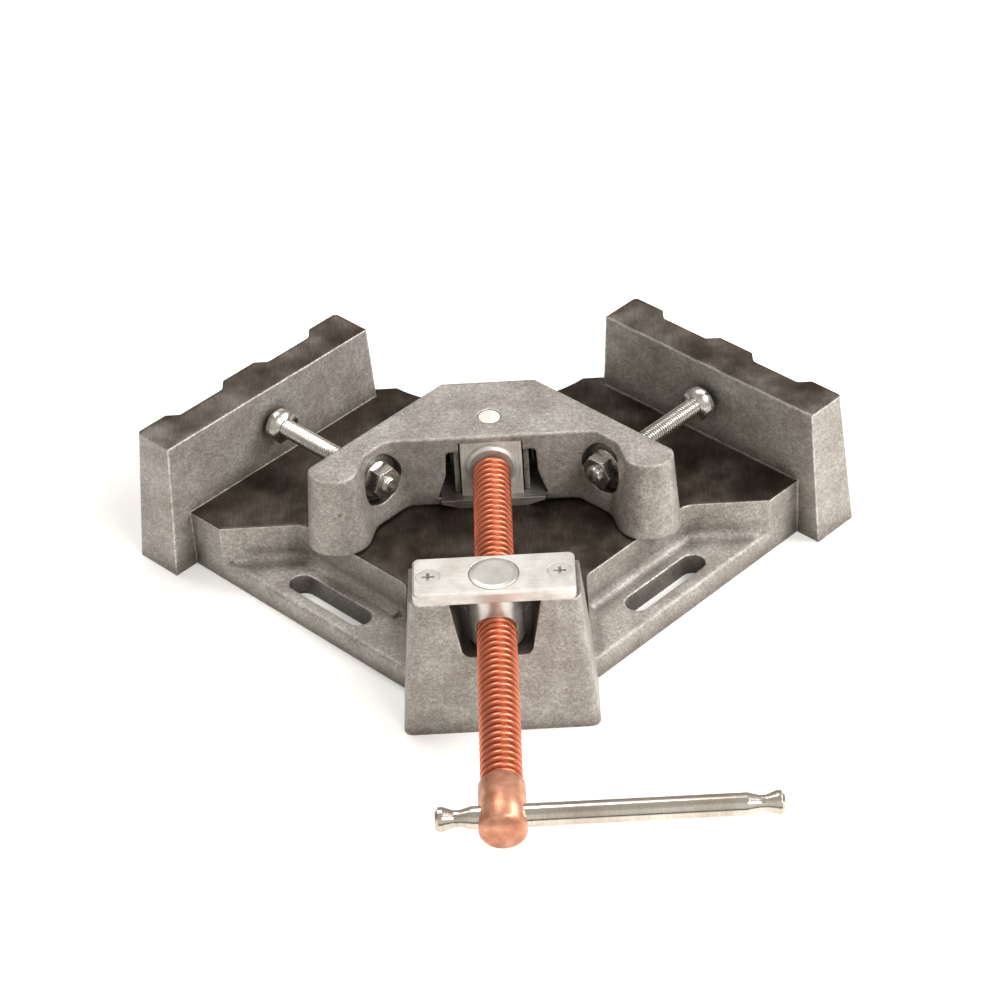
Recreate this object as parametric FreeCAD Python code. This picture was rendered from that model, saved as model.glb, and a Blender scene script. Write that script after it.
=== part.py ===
"""Welder's corner clamp: a cast base with two fences at right angles, and a floating jaw
that a copper-plated screw drives into the corner.

Frame: +Z up, +Y from the handle towards the corner, +X to the right of someone at the
handle. The origin is on the bench, under the axis on which the screw's nut swivels.
Lengths are in millimetres.
"""
import FreeCAD, Part
import math
import os
from FreeCAD import Vector

# Levels
flange_thickness = 10.0
seat_height = 27.5
fence_height = 37.0            # above the seat
screw_above_seat = 20.5

# Fences
corner_distance = 233.8        # from the swivel axis to the corner where the fence faces would meet
fence_start = 74.4             # from that corner to the near end of a fence, along its face
fence_length = 116.0
fence_thickness = 19.6         # at the pads
fence_relief = 4.4             # how far the wall between the pads is set back
end_pad_length = 16.0
middle_pad_length = 18.0
pad_end_radius = 2.0
pad_step_radius = 1.5
relief_corner_radius = 2.5
casting_draft = 4.0            # degrees, on the outer walls of the fences

# Base
front_edge_offset = 25.1       # the flange's front edge is the line y = |x| - this
seat_edge_offset = 10.5        # the seat's front edge is the line y = |x| + this
seat_corner_y = 91.4           # where that edge turns to run straight out to the sides
weld_relief_radius = 62.0      # scallop in the seat, round the corner
relief_edge_back = 45.8        # the seat's rear edge, in front of the corner
seat_tower_radius = 6.0        # plan radius where the seat runs into the tower
seat_bend_radius = 9.0
core_wall = 8.0                # walls and roof of the cored underside
rib_thickness = 8.0
core_corner_radius = 6.0
flange_edge_radius = 2.5       # along the flange's outer edge
step_foot_radius = 4.0         # where the flange runs up into the seat's side

# Bench slots in the flange
slot_width = 11.0
slot_centres = 34.5            # between the two end radii
slot_middle_x = 70.2
slot_line_shift = 1.1          # how much nearer the slots lie to the front edge than to the seat

# Tower
tower_foot_half = 39.6
tower_top_half = 33.7
tower_foot_front = 14.8
tower_foot_back = 24.0
tower_edge_radius = 4.0
nut_side_gap = 2.35            # from the nut to the slot's walls, at the slot's floor
slot_flare = 4.4               # how much wider the slot is at the top, per side
slot_floor_radius = 4.0

# Cover plate and its screws
cover_side_margin = 1.7        # from the cover's ends to the tower's sides
cover_depth = 24.0
cover_thickness = 5.0
cover_corner_radius = 2.5
cover_chamfer = 0.8
cover_screw_thread = 5.0
cover_screw_head = 9.6
cover_screw_length = 16.0
screw_head_land = 0.3          # straight rim of a countersunk head

# Screw spindle
thread_diameter = 16.0
thread_pitch = 3.5
handle_head_diameter = 18.0
handle_head_length = 25.0
handle_head_chamfer = 1.5
screw_rear_reach = 125.0       # from the swivel axis back to the end of the head
tommy_hole_from_end = 9.0
neck_diameter = 12.0
neck_length = 0.8              # bare neck between the thread and the thrust ring
nose_length = 7.4              # inside the thrust block
nose_chamfer = 0.8
retaining_pin_diameter = 3.0
groove_depth = 1.6

# Tommy bar
tommy_diameter = 8.8
tommy_length = 128.0
tommy_waist_from_end = 9.0
tommy_waist_taper = 4.4
tommy_waist_depth = 1.2
tommy_end_flare = 0.25         # how far the swaged ends stand out from the rod
tommy_end_land = 2.8
tommy_end_chamfer = 1.2
tommy_rest_offset = 39.2       # how far the bar hangs out to the right

# Swivel nut
nut_shoulder = 1.25            # under the cover, and over the washer
trunnion_diameter = 20.0
trunnion_crown = 0.5           # how far the trunnion stands above the cover
trunnion_edge = 2.2            # rounded rim of its top
nut_over_screw = 16.0          # from the screw's axis up to the nut's shoulder
lower_pivot_diameter = 14.0
lower_pivot_length = 16.0
floor_below_thread = 2.2
washer_thickness = 1.0
washer_diameter = 21.0

# Moving jaw
jaw_face_gap = 52.5            # from a fence to the jaw's face, square to both
jaw_lift = 1.0                 # under the casting
jaw_height = 34.2
jaw_nose_y = 139.5
jaw_rear_y = 99.5
jaw_half_width = 75.7          # over the ears, at the top
ear_width = 18.6               # at the top
ear_side_length = 11.15        # from the clamping face back to the ear's tip, at the top
ear_lean = 4.5                 # how far an ear's inner side leans out on the way to its tip
ear_outer_draft = 2.5          # how much further out, in and back the foot of an ear reaches
ear_inner_draft = 3.3
ear_tip_draft = 4.9
arm_top_thickness = 11.35      # square to the clamping face
arm_foot_thickness = 17.0
arm_root_radius = 7.0          # where an arm leaves the rear face
arm_bend_radius = 9.0          # where it bends back into the ear
jaw_corner_radius = 4.0
jaw_nose_radius = 1.0
jaw_top_radius = 0.7
jaw_roof = 3.0
window_top_drop = 7.4          # from the jaw's top to the top of the side windows
window_top_half = 19.0
window_knee_half = 19.5        # below the knee, the outer side runs out to the bottom
window_knee_rise = 11.9
window_knee_radius = 12.0
window_bottom_half = 23.4
window_corner_radius = 1.8
cheek_thickness = 2.2
cheek_setback = 3.0
window_depth = 26.0

# Thrust block, its ring and the jaw's pivot pin
block_width = 26.0
block_depth = 28.0
block_recess = 0.5             # behind the jaw's rear face
block_corner_radius = 3.0
pin_diameter = 10.0
pin_behind_rear = 14.5
pin_foot_lift = 1.0            # from the keeper plate's underside up to the pin's foot
ring_diameter = 21.2
ring_thickness = 3.4
ring_chamfer = 1.0

# Keeper plate under the jaw
keeper_width = 44.0
keeper_thickness = 4.0
keeper_proud = 2.5
keeper_depth = 36.0
keeper_bevel = 7.5             # under the ends of its front edge
keeper_bevel_rise = 2.5
keeper_bevel_run = 20.0        # how far back the bevels run, short of the screws
keeper_corner_radius = 2.0
keeper_screw_spread = 17.5
keeper_screw_edge = 5.5        # from the plate's far edge
keeper_screw_thread = 4.0
keeper_screw_head = 7.6
keeper_screw_length = 11.0
keeper_screw_sunk = 0.3        # below the plate's sliding face

# Jaw bolts, nuts and washers
bolt_diameter = 8.0
bolt_length = 65.0
bolt_tip_chamfer = 1.0
bolt_head_height = 5.3
hex_across_flats = 13.0
hex_bevel = 0.6                # bevel's length over the corners' excess
bolt_line_offset = 46.0        # the bolts lie on the lines y = |x| + this
bolt_above_seat = 20.5
bolt_head_gap = 3.2            # from the heads to the fences, a thin angle's leg
lock_nut_height = 6.5
lock_washer_diameter = 16.0
lock_washer_thickness = 1.6
arm_wall = 10.9                # metal left under the spot face
spot_face_diameter = 22.0

# Fits, all radial or per side
running_fit = 0.05
slide_gap = 0.1
swing_gap = 0.6                # round the block, so that the jaw can rock on its pin
washer_gap = 0.2

# Smaller than any size above, or longer than any cut needs
EDGE_BREAK = 0.6
TANGENT_LAND = 0.1             # flat left between two roundings
ON_PLANE = 1e-3
OVER = 1.0                     # how far a cutting tool runs past a face
THROUGH = 80.0

# Values that follow from the sizes above
fence_top = seat_height + fence_height
screw_z = seat_height + screw_above_seat
slot_floor = screw_z - thread_diameter / 2 - floor_below_thread
nut_diameter = trunnion_diameter + 2 * nut_shoulder
tower_floor_half = nut_diameter / 2 + nut_side_gap
tower_mouth_half = tower_floor_half + slot_flare
cover_length = 2 * (tower_top_half - cover_side_margin)
cover_screw_spread = (tower_mouth_half + tower_top_half) / 2
tower_top = screw_z + nut_over_screw
cover_top = tower_top + cover_thickness
jaw_bottom = seat_height + jaw_lift
jaw_top = jaw_bottom + jaw_height
keeper_bottom = seat_height + slide_gap
keeper_top = keeper_bottom + keeper_thickness
pocket_top = jaw_top - jaw_roof
block_bottom = keeper_top + slide_gap
block_top = pocket_top - 2 * slide_gap
block_front = jaw_rear_y + block_recess
pin_y = jaw_rear_y + pin_behind_rear
pocket_half = block_width / 2 + swing_gap
thread_chamfer = 0.4 * thread_pitch  # down to the thread's root
thread_end = block_front - ring_thickness - neck_length
tommy_y = tommy_hole_from_end - screw_rear_reach
side_x = seat_corner_y + front_edge_offset
jaw_face_sum = corner_distance - jaw_face_gap * math.sqrt(2)
bolt_z = seat_height + bolt_above_seat
DIAGONAL = 1 / math.sqrt(2)


def rounded_wire(corners, z):
    """Closed wire at height z through corners (x, y, radius), each rounded by an arc."""
    edges = []
    ends = []
    count = len(corners)
    for i in range(count):
        x, y, radius = corners[i]
        here = Vector(x, y, z)
        before = Vector(corners[i - 1][0], corners[i - 1][1], z)
        after = Vector(corners[(i + 1) % count][0], corners[(i + 1) % count][1], z)
        if radius <= 0:
            ends.append((here, here, None))
            continue
        back = (before - here).normalize()
        forth = (after - here).normalize()
        half_angle = back.getAngle(forth) / 2
        reach = radius / math.tan(half_angle)
        middle = (back + forth).normalize()
        centre = here + middle * (radius / math.sin(half_angle))
        ends.append((here + back * reach, here + forth * reach, centre - middle * radius))
    for i in range(count):
        start, finish, through = ends[i]
        if through is not None:
            edges.append(Part.Arc(start, through, finish).toShape())
        following = ends[(i + 1) % count][0]
        if finish.distanceToPoint(following) > 1e-6:
            edges.append(Part.LineSegment(finish, following).toShape())
    return Part.Wire(edges)


def prism(corners, low, high):
    """Upright solid of a rounded outline, from height low to height high."""
    face = Part.Face(rounded_wire(corners, low))
    return face.extrude(Vector(0, 0, high - low))


def drafted_prism(foot, top, low, high):
    """Upright solid whose outline changes from foot to top, for a wall with draft."""
    return Part.makeLoft([rounded_wire(foot, low), rounded_wire(top, high)], True, True)


def mirrored(corners):
    """The same outline on the other side of the clamp's middle plane."""
    return [(-x, y, radius) for x, y, radius in reversed(corners)]


def both_sides(right_half):
    """Full outline from the corners of its right half, listed from front to back."""
    return right_half + mirrored(right_half)


def cylinder(diameter, start, axis, length):
    return Part.makeCylinder(diameter / 2, length, start, axis)


def turned(points, start, axis, across):
    """Solid of revolution: points are (distance along axis, radius)."""
    outline = [start + axis * along + across * radius for along, radius in points]
    wire = Part.makePolygon(outline + [outline[0]])
    return Part.Face(wire).revolve(start, axis, 360)


def hexagon(across_flats, start, axis, up, length):
    """Hexagonal prism with its flats square to up, and corners bevelled on one end."""
    side = axis.cross(up)
    corner = across_flats / 2 / math.cos(math.radians(30))
    points = []
    for i in range(7):
        angle = math.radians(60 * i)
        points.append(start + side * (corner * math.cos(angle)) + up * (corner * math.sin(angle)))
    body = Part.Face(Part.makePolygon(points)).extrude(axis * length)
    bevel = (corner - across_flats / 2) * hex_bevel
    rim = turned([(0, 0), (0, corner), (length - bevel, corner),
                  (length, across_flats / 2), (length, 0)], start, axis, up)
    return body.common(rim)


def countersunk_screw(top, axis, thread, head, length):
    """Countersunk machine screw with a cross recess; axis points from head to tip."""
    cone_end = screw_head_land + (head - thread) / 2
    tip = thread * 0.12
    screw = turned([(0, 0), (0, head / 2), (screw_head_land, head / 2), (cone_end, thread / 2),
                    (length - tip, thread / 2), (length, thread / 2 - tip), (length, 0)],
                   top, axis, Vector(1, 0, 0))
    recess_width = head * 0.13
    recess_length = head * 0.52
    recess_depth = head * 0.22
    for long_x in (True, False):
        size_x = recess_length if long_x else recess_width
        size_y = recess_width if long_x else recess_length
        corner = top + Vector(-size_x / 2, -size_y / 2, min(0, axis.z * recess_depth))
        screw = screw.cut(Part.makeBox(size_x, size_y, recess_depth, corner))
    return screw


def countersink(top, axis, thread, head, depth):
    """Hole for a countersunk screw, drilled a little wider than the screw."""
    cone_end = screw_head_land + (head - thread) / 2
    wide = head / 2 + slide_gap
    narrow = thread / 2 + slide_gap
    return turned([(-OVER, 0), (-OVER, wide), (screw_head_land, wide), (cone_end, narrow),
                   (depth, narrow), (depth, 0)], top, axis, Vector(1, 0, 0))


def fence_point(side, along, out):
    """Plan position on a fence: along its face from the corner, and out behind the face."""
    return side * (along + out) * DIAGONAL, corner_distance - (along - out) * DIAGONAL


def fence_outline(side, spread):
    """Plan of one fence with its three pads; spread is the draft's growth at this level.
    It runs a little past the fence's face, which is cut flat afterwards."""
    step = fence_relief
    start = fence_start - spread
    finish = fence_start + fence_length + spread
    pad = fence_thickness + spread
    wall = pad - fence_relief
    middle = fence_start + fence_length / 2
    edges = [start + end_pad_length + spread, middle - middle_pad_length / 2,
             middle + middle_pad_length / 2, finish - end_pad_length - spread]
    end, brow, foot = pad_end_radius, pad_step_radius, relief_corner_radius
    plan = [(start, -OVER, 0), (finish, -OVER, 0), (finish, pad, end), (edges[3], pad, brow),
            (edges[3] - step, wall, foot), (edges[2] + step, wall, foot), (edges[2], pad, brow),
            (edges[1], pad, brow), (edges[1] - step, wall, foot), (edges[0] + step, wall, foot),
            (edges[0], pad, brow), (start, pad, end)]
    corners = []
    for along, out, radius in plan:
        x, y = fence_point(side, along, out)
        corners.append((x, y, radius))
    return corners


def flange(side):
    """Thin flange with its outer edge rounded, run a little way into the seat and the tower."""
    body = prism(flange_outline() if side > 0 else mirrored(flange_outline()), 0, flange_thickness)
    edges = [edge for edge in body.Edges
             if all(abs(end.Z - flange_thickness) < ON_PLANE
                    and abs(end.Y - abs(end.X) + front_edge_offset) < ON_PLANE for end in edge.Vertexes)]
    return body.makeFillet(flange_edge_radius, edges)


def step_bead():
    """Rounded foot of the seat, where the flange on the right runs up into it."""
    neck = tower_half_at(seat_height)
    corners = [(neck, cover_depth / 2), (neck, neck + seat_edge_offset),
               (seat_corner_y - seat_edge_offset, seat_corner_y), (side_x, seat_corner_y)]
    path = [Vector(x, y, flange_thickness) for x, y in corners]
    up = Vector(0, 0, 1)
    runs = []
    for near, far in zip(path, path[1:]):
        along = (far - near).normalize()
        out = along.cross(up)
        start = near - along * OVER
        on_flange = start + out * step_foot_radius
        on_wall = start + up * step_foot_radius
        through = start + (out + up) * (step_foot_radius * (1 - DIAGONAL))
        behind = start - (out + up) * OVER
        outline = [Part.Arc(on_flange, through, on_wall).toShape(),
                   Part.makePolygon([on_wall, on_wall - out * OVER, behind, on_flange - up * OVER, on_flange])]
        runs.append(Part.Face(Part.Wire(outline)).extrude(along * (far.distanceToPoint(near) + 2 * OVER)))
    edge = flange_edge_radius * math.sqrt(2) - front_edge_offset
    reach = 2 * THROUGH
    on_top = prism([(0, edge, 0), (reach, reach + edge, 0), (0, reach + edge, 0)], 0, seat_height)
    return runs[0].fuse(runs[1:]).common(on_top)


def fence(side):
    spread = math.tan(math.radians(casting_draft)) * fence_top
    body = drafted_prism(fence_outline(side, spread), fence_outline(side, 0), 0, fence_top)
    front = []
    far = 2 * corner_distance
    for along, out in ((0, -THROUGH), (far, -THROUGH), (far, 0), (0, 0)):
        x, y = fence_point(side, along, out)
        front.append((x, y, 0))
    return body.cut(prism(front, -OVER, fence_top + OVER))


def seat_outline():
    """Right half of the raised seat, from the tower round to the rear edge."""
    neck = tower_half_at(seat_height)
    face_x = (corner_distance + front_edge_offset) / 2
    into_fence = fence_thickness / 2
    outer = fence_point(1, math.sqrt(2) * face_x, into_fence)
    inner = fence_point(1, fence_start + end_pad_length / 2, into_fence)
    rear_y = corner_distance - relief_edge_back
    return [(neck, 0, 0), (neck, neck + seat_edge_offset, seat_tower_radius),
            (seat_corner_y - seat_edge_offset, seat_corner_y, seat_bend_radius),
            (side_x, seat_corner_y, 0),
            (face_x, face_x - front_edge_offset, 0), (outer[0], outer[1], 0),
            (inner[0], inner[1], 0), (inner[0] - (inner[1] - rear_y), rear_y, 0)]


def flange_outline():
    """Right half of the thin flange in front of the seat, run a little way into seat and tower."""
    neck = tower_half_at(seat_height) - OVER
    tip = side_x + OVER
    return [(neck, neck - front_edge_offset, 0), (tip, tip - front_edge_offset, 0),
            (seat_corner_y, seat_corner_y + core_wall, 0), (neck, neck + seat_edge_offset + core_wall, 0)]


def tower_half_at(z):
    """Half-width of the tapered tower at height z."""
    return tower_foot_half + (tower_top_half - tower_foot_half) * z / tower_top


def tower_solid():
    """Tapered tower that carries the screw's nut."""
    foot = [(-tower_foot_half, -tower_foot_front, tower_edge_radius),
            (tower_foot_half, -tower_foot_front, tower_edge_radius),
            (tower_foot_half, tower_foot_back, 0), (-tower_foot_half, tower_foot_back, 0)]
    depth = cover_depth / 2
    top = [(-tower_top_half, -depth, tower_edge_radius), (tower_top_half, -depth, tower_edge_radius),
           (tower_top_half, depth, 0), (-tower_top_half, depth, 0)]
    return drafted_prism(foot, top, 0, tower_top)


def tower_slot():
    """Tapered slot through the tower for the nut and the screw, open at the top."""
    reach = tower_foot_front + tower_foot_back
    y = -tower_foot_front - reach
    slope = (tower_mouth_half - tower_floor_half) / (tower_top - slot_floor)
    mouth = tower_mouth_half + slope * OVER
    profile = [(-tower_floor_half, slot_floor, slot_floor_radius),
               (tower_floor_half, slot_floor, slot_floor_radius),
               (mouth, tower_top + OVER, 0), (-mouth, tower_top + OVER, 0)]
    upright = rounded_wire(profile, 0)
    upright.rotate(Vector(0, 0, 0), Vector(1, 0, 0), 90)
    upright.translate(Vector(0, y, 0))
    return Part.Face(upright).extrude(Vector(0, 3 * reach, 0))


def bench_slot(side):
    """Slot through the flange, in line with its front edge."""
    middle_y = slot_middle_x - (front_edge_offset - seat_edge_offset) / 2 - slot_line_shift
    along = Vector(side * DIAGONAL, DIAGONAL, 0)
    across = Vector(-side * DIAGONAL, DIAGONAL, 0)
    middle = Vector(side * slot_middle_x, middle_y, -OVER)
    half = slot_centres / 2
    depth = flange_thickness + 2 * OVER
    corner = middle - along * half - across * (slot_width / 2)
    wire = Part.makePolygon([corner, corner + along * slot_centres,
                             corner + along * slot_centres + across * slot_width,
                             corner + across * slot_width, corner])
    cut = Part.Face(wire).extrude(Vector(0, 0, depth))
    for end in (middle - along * half, middle + along * half):
        cut = cut.fuse(cylinder(slot_width, end, Vector(0, 0, 1), depth))
    return cut


def base_cores():
    """Cored underside: pockets between the walls and three ribs."""
    roof = seat_height - core_wall
    wall = core_wall
    slanted_wall = wall * math.sqrt(2)
    neck = tower_half_at(seat_height) - wall
    front_y = tower_foot_back + wall
    side_y = seat_corner_y + wall
    bend_x = side_y - (seat_edge_offset + slanted_wall)
    face_sum = corner_distance - slanted_wall / 2
    front_sum_x = (face_sum + front_edge_offset + slanted_wall) / 2
    rear_y = corner_distance - weld_relief_radius - wall
    half_rib = rib_thickness / 2
    cores = []
    for side in (-1, 1):
        near = [(half_rib, front_y), (neck, front_y), (neck, neck + seat_edge_offset + wall),
                (bend_x, side_y - rib_thickness), (half_rib, side_y - rib_thickness)]
        far = [(half_rib, side_y), (side_x - wall, side_y),
               (front_sum_x - wall, face_sum - front_sum_x),
               (face_sum - rear_y, rear_y), (half_rib, rear_y)]
        for plan in (near, far):
            corners = [(side * x, y, core_corner_radius) for x, y in plan]
            cores.append(prism(corners, -OVER, roof))
    return cores


def base_casting():
    seat = prism(both_sides(seat_outline()), 0, seat_height)
    bead = step_bead()
    other_bead = bead.mirror(Vector(0, 0, 0), Vector(1, 0, 0))
    seat = seat.fuse([flange(-1), flange(1), bead, other_bead])
    relief = cylinder(2 * weld_relief_radius, Vector(0, corner_distance, -OVER), Vector(0, 0, 1),
                      seat_height + 2 * OVER)
    seat = seat.cut(relief)
    body = seat.fuse(tower_solid())
    body = body.fuse([fence(-1), fence(1)]).removeSplitter()
    for core in base_cores():
        body = body.cut(core)
    body = body.cut([tower_slot(), bench_slot(-1), bench_slot(1)])
    pivot_depth = lower_pivot_length + slide_gap
    body = body.cut(cylinder(lower_pivot_diameter + 2 * running_fit,
                             Vector(0, 0, slot_floor - pivot_depth), Vector(0, 0, 1), pivot_depth + OVER))
    for side in (-1, 1):
        top = Vector(side * cover_screw_spread, 0, tower_top + OVER)
        body = body.cut(cylinder(cover_screw_thread + 2 * slide_gap, top, Vector(0, 0, -1),
                                 cover_screw_length - cover_thickness + 3 * OVER))
    return body


def cover_plate():
    half_length = cover_length / 2
    half_depth = cover_depth / 2
    right_half = [(half_length, -half_depth, cover_corner_radius),
                  (half_length, half_depth, cover_corner_radius)]
    plate = prism(both_sides(right_half), tower_top, cover_top)
    rim = [edge for edge in plate.Edges if edge.BoundBox.ZMin > cover_top - ON_PLANE]
    plate = plate.makeChamfer(cover_chamfer, rim)
    plate = plate.cut(cylinder(trunnion_diameter + 2 * running_fit, Vector(0, 0, tower_top - OVER),
                               Vector(0, 0, 1), cover_thickness + 2 * OVER))
    for side in (-1, 1):
        plate = plate.cut(countersink(Vector(side * cover_screw_spread, 0, cover_top), Vector(0, 0, -1),
                                      cover_screw_thread, cover_screw_head, cover_thickness + OVER))
    return plate


def cover_screw(side):
    return countersunk_screw(Vector(side * cover_screw_spread, 0, cover_top), Vector(0, 0, -1),
                             cover_screw_thread, cover_screw_head, cover_screw_length)


def pivot_washer():
    """Hardened washer between the nut's lower shoulder and the slot's floor."""
    ring = cylinder(washer_diameter, Vector(0, 0, slot_floor), Vector(0, 0, 1), washer_thickness)
    return ring.cut(cylinder(lower_pivot_diameter + 2 * washer_gap, Vector(0, 0, slot_floor - OVER),
                             Vector(0, 0, 1), washer_thickness + 2 * OVER))


def swivel_nut():
    """Turned nut: a pivot below, a trunnion above, and the thread across its body."""
    foot = slot_floor - lower_pivot_length
    shoulder = slot_floor + washer_thickness - foot
    collar = tower_top - slide_gap - foot
    crown = cover_top + trunnion_crown - foot
    pivot = lower_pivot_diameter / 2
    body = nut_diameter / 2
    trunnion = trunnion_diameter / 2
    rim = trunnion_edge
    nut = turned([(0, 0), (0, pivot - EDGE_BREAK), (EDGE_BREAK, pivot), (shoulder, pivot),
                  (shoulder, body - EDGE_BREAK), (shoulder + EDGE_BREAK, body), (collar, body),
                  (collar, trunnion), (crown - rim * 0.55, trunnion),
                  (crown - rim * 0.16, trunnion - rim * 0.23), (crown, trunnion - rim), (crown, 0)],
                 Vector(0, 0, foot), Vector(0, 0, 1), Vector(1, 0, 0))
    bore = cylinder(thread_diameter + 2 * running_fit, Vector(0, -nut_diameter, screw_z),
                    Vector(0, 1, 0), 2 * nut_diameter)
    return nut.cut(bore)


def spindle():
    """Screw with a plain head for the tommy bar and a grooved nose for the thrust block."""
    start = Vector(0, -screw_rear_reach, screw_z)
    head = handle_head_diameter / 2
    thread = thread_diameter / 2
    neck = neck_diameter / 2
    root = neck - groove_depth
    length = thread_end + screw_rear_reach
    nose_end = block_front + nose_length + screw_rear_reach
    groove = groove_middle() + screw_rear_reach
    half = retaining_pin_diameter / 2 + slide_gap
    screw = turned([(0, 0), (0, head - handle_head_chamfer), (handle_head_chamfer, head),
                    (handle_head_length - EDGE_BREAK, head),
                    (handle_head_length, head - EDGE_BREAK), (handle_head_length, thread),
                    (length - thread_chamfer, thread), (length, thread - thread_chamfer), (length, neck),
                    (groove - half, neck), (groove - half, root), (groove + half, root),
                    (groove + half, neck), (nose_end - nose_chamfer, neck),
                    (nose_end, neck - nose_chamfer), (nose_end, 0)],
                   start, Vector(0, 1, 0), Vector(1, 0, 0))
    hole = cylinder(tommy_diameter + 2 * running_fit, Vector(-handle_head_diameter, tommy_y, screw_z),
                    Vector(1, 0, 0), 2 * handle_head_diameter)
    return screw.cut(hole)


def groove_middle():
    return block_front + nose_length / 2


def tommy_bar():
    """Sliding bar, pinched near both ends so that it can't fall out of the head."""
    start = Vector(tommy_rest_offset - tommy_length / 2, tommy_y, screw_z)
    rod = tommy_diameter / 2
    waist = rod - tommy_waist_depth
    flare = rod + tommy_end_flare
    pinch = tommy_waist_from_end
    near = [(0, 0), (0, flare - tommy_end_chamfer), (tommy_end_chamfer, flare),
            (tommy_end_land, flare), (pinch - tommy_waist_taper / 2, waist), (pinch, waist),
            (pinch + tommy_waist_taper, rod)]
    far = [(tommy_length - along, radius) for along, radius in reversed(near)]
    return turned(near + far, start, Vector(1, 0, 0), Vector(0, 0, 1))


def jaw_outline(arm_thickness, outer, inner, tip_y):
    """Right half of the jaw's outline at one level: rear face, arm, ear, and then straight on
    past the clamping face, which is cut flat afterwards."""
    arm_sum = jaw_face_sum - arm_thickness * math.sqrt(2)
    bend_x = inner - ear_lean
    corner_reach = jaw_corner_radius * math.tan(math.radians(22.5))
    room = jaw_face_sum - outer - tip_y - corner_reach
    round_end = min((outer - inner) / 2, room) - TANGENT_LAND
    return [(arm_sum - jaw_rear_y, jaw_rear_y, arm_root_radius), (bend_x, arm_sum - bend_x, arm_bend_radius),
            (inner, tip_y, round_end), (outer, tip_y, round_end), (outer, jaw_nose_y + OVER, 0)]


def jaw_block():
    """The jaw's casting before its pockets and bores: drafted arms and ears, true clamping faces."""
    inner = jaw_half_width - ear_width
    tip_y = jaw_face_sum - jaw_half_width - ear_side_length
    foot = jaw_outline(arm_foot_thickness, jaw_half_width + ear_outer_draft, inner - ear_inner_draft,
                       tip_y - ear_tip_draft)
    top = jaw_outline(arm_top_thickness, jaw_half_width, inner, tip_y)
    body = drafted_prism(both_sides(foot), both_sides(top), jaw_bottom, jaw_top)
    wide = jaw_half_width + THROUGH
    faces = [(wide, jaw_face_sum - wide, 0), (jaw_face_sum - jaw_nose_y, jaw_nose_y, jaw_nose_radius)]
    body = body.common(prism(both_sides(faces), jaw_bottom - OVER, jaw_top + OVER))
    corners = [edge for edge in body.Edges if edge.BoundBox.ZLength > jaw_height / 2
               and all(abs(abs(end.X) + end.Y - jaw_face_sum) < ON_PLANE and abs(end.X) > inner
                       for end in edge.Vertexes)]
    body = body.makeFillet(jaw_corner_radius, corners)
    rim = [edge for edge in body.Edges if edge.BoundBox.ZMin > jaw_top - ON_PLANE]
    return body.makeFillet(jaw_top_radius, rim)


def window_cut(side):
    """Cored pocket beside the block: shallow in front of the cheek, deep outside it."""
    top = jaw_top - window_top_drop
    knee = keeper_top + window_knee_rise
    inner = pocket_half + cheek_thickness
    cuts = []
    for left, depth in ((pocket_half - OVER, cheek_setback), (inner, window_depth)):
        profile = [(side * left, keeper_top, 0), (side * window_bottom_half, keeper_top, 0),
                   (side * window_knee_half, knee, window_knee_radius),
                   (side * window_top_half, top, window_corner_radius), (side * left, top, 0)]
        wire = rounded_wire(profile, 0)
        wire.rotate(Vector(0, 0, 0), Vector(1, 0, 0), 90)
        wire.translate(Vector(0, jaw_rear_y - OVER, 0))
        cuts.append(Part.Face(wire).extrude(Vector(0, depth + OVER, 0)))
    return cuts


def bolt_frame(side):
    """Where a bolt's axis meets the jaw's face, and the direction out of the face."""
    x = (jaw_face_sum - bolt_line_offset) / 2
    return Vector(side * x, x + bolt_line_offset, bolt_z), Vector(side * DIAGONAL, DIAGONAL, 0)


def moving_jaw():
    body = jaw_block()
    pocket = Part.makeBox(2 * pocket_half, block_depth + block_recess + OVER + swing_gap,
                          pocket_top - jaw_bottom + OVER,
                          Vector(-pocket_half, jaw_rear_y - OVER, jaw_bottom - OVER))
    body = body.cut(pocket)
    body = body.cut(window_cut(-1) + window_cut(1))
    seat = Part.makeBox(keeper_width + 2 * slide_gap, keeper_depth - keeper_proud + slide_gap + OVER,
                        keeper_top - jaw_bottom + OVER,
                        Vector(-keeper_width / 2 - slide_gap, jaw_rear_y - OVER, jaw_bottom - OVER))
    body = body.cut(seat)
    body = body.cut(cylinder(pin_diameter, Vector(0, pin_y, jaw_bottom), Vector(0, 0, 1), jaw_height + OVER))
    for side in (-1, 1):
        face, out = bolt_frame(side)
        body = body.cut(cylinder(bolt_diameter + 2 * running_fit, face + out * OVER, out * -1, THROUGH))
        body = body.cut(cylinder(spot_face_diameter, face - out * arm_wall, out * -1, THROUGH))
        hole = keeper_screw_foot(side) + Vector(0, 0, keeper_thickness - OVER)
        body = body.cut(cylinder(keeper_screw_thread + 2 * slide_gap, hole, Vector(0, 0, 1),
                                 keeper_screw_length - keeper_thickness + 2 * OVER))
    return body


def thrust_block():
    """Block that hangs on the pivot pin and takes the push of the screw's nose."""
    half = block_width / 2
    right_half = [(half, block_front, EDGE_BREAK), (half, block_front + block_depth, block_corner_radius)]
    block = prism(both_sides(right_half), block_bottom, block_top)
    block = block.cut(cylinder(neck_diameter + 2 * running_fit, Vector(0, block_front - OVER, screw_z),
                               Vector(0, 1, 0), nose_length + slide_gap + OVER))
    block = block.cut(cylinder(pin_diameter + 2 * running_fit, Vector(0, pin_y, block_bottom - OVER),
                               Vector(0, 0, 1), block_top - block_bottom + 2 * OVER))
    for side in (-1, 1):
        block = block.cut(cylinder(retaining_pin_diameter, retaining_pin_foot(side) - Vector(0, 0, OVER),
                                   Vector(0, 0, 1), block_top - block_bottom + 2 * OVER))
    return block


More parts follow.
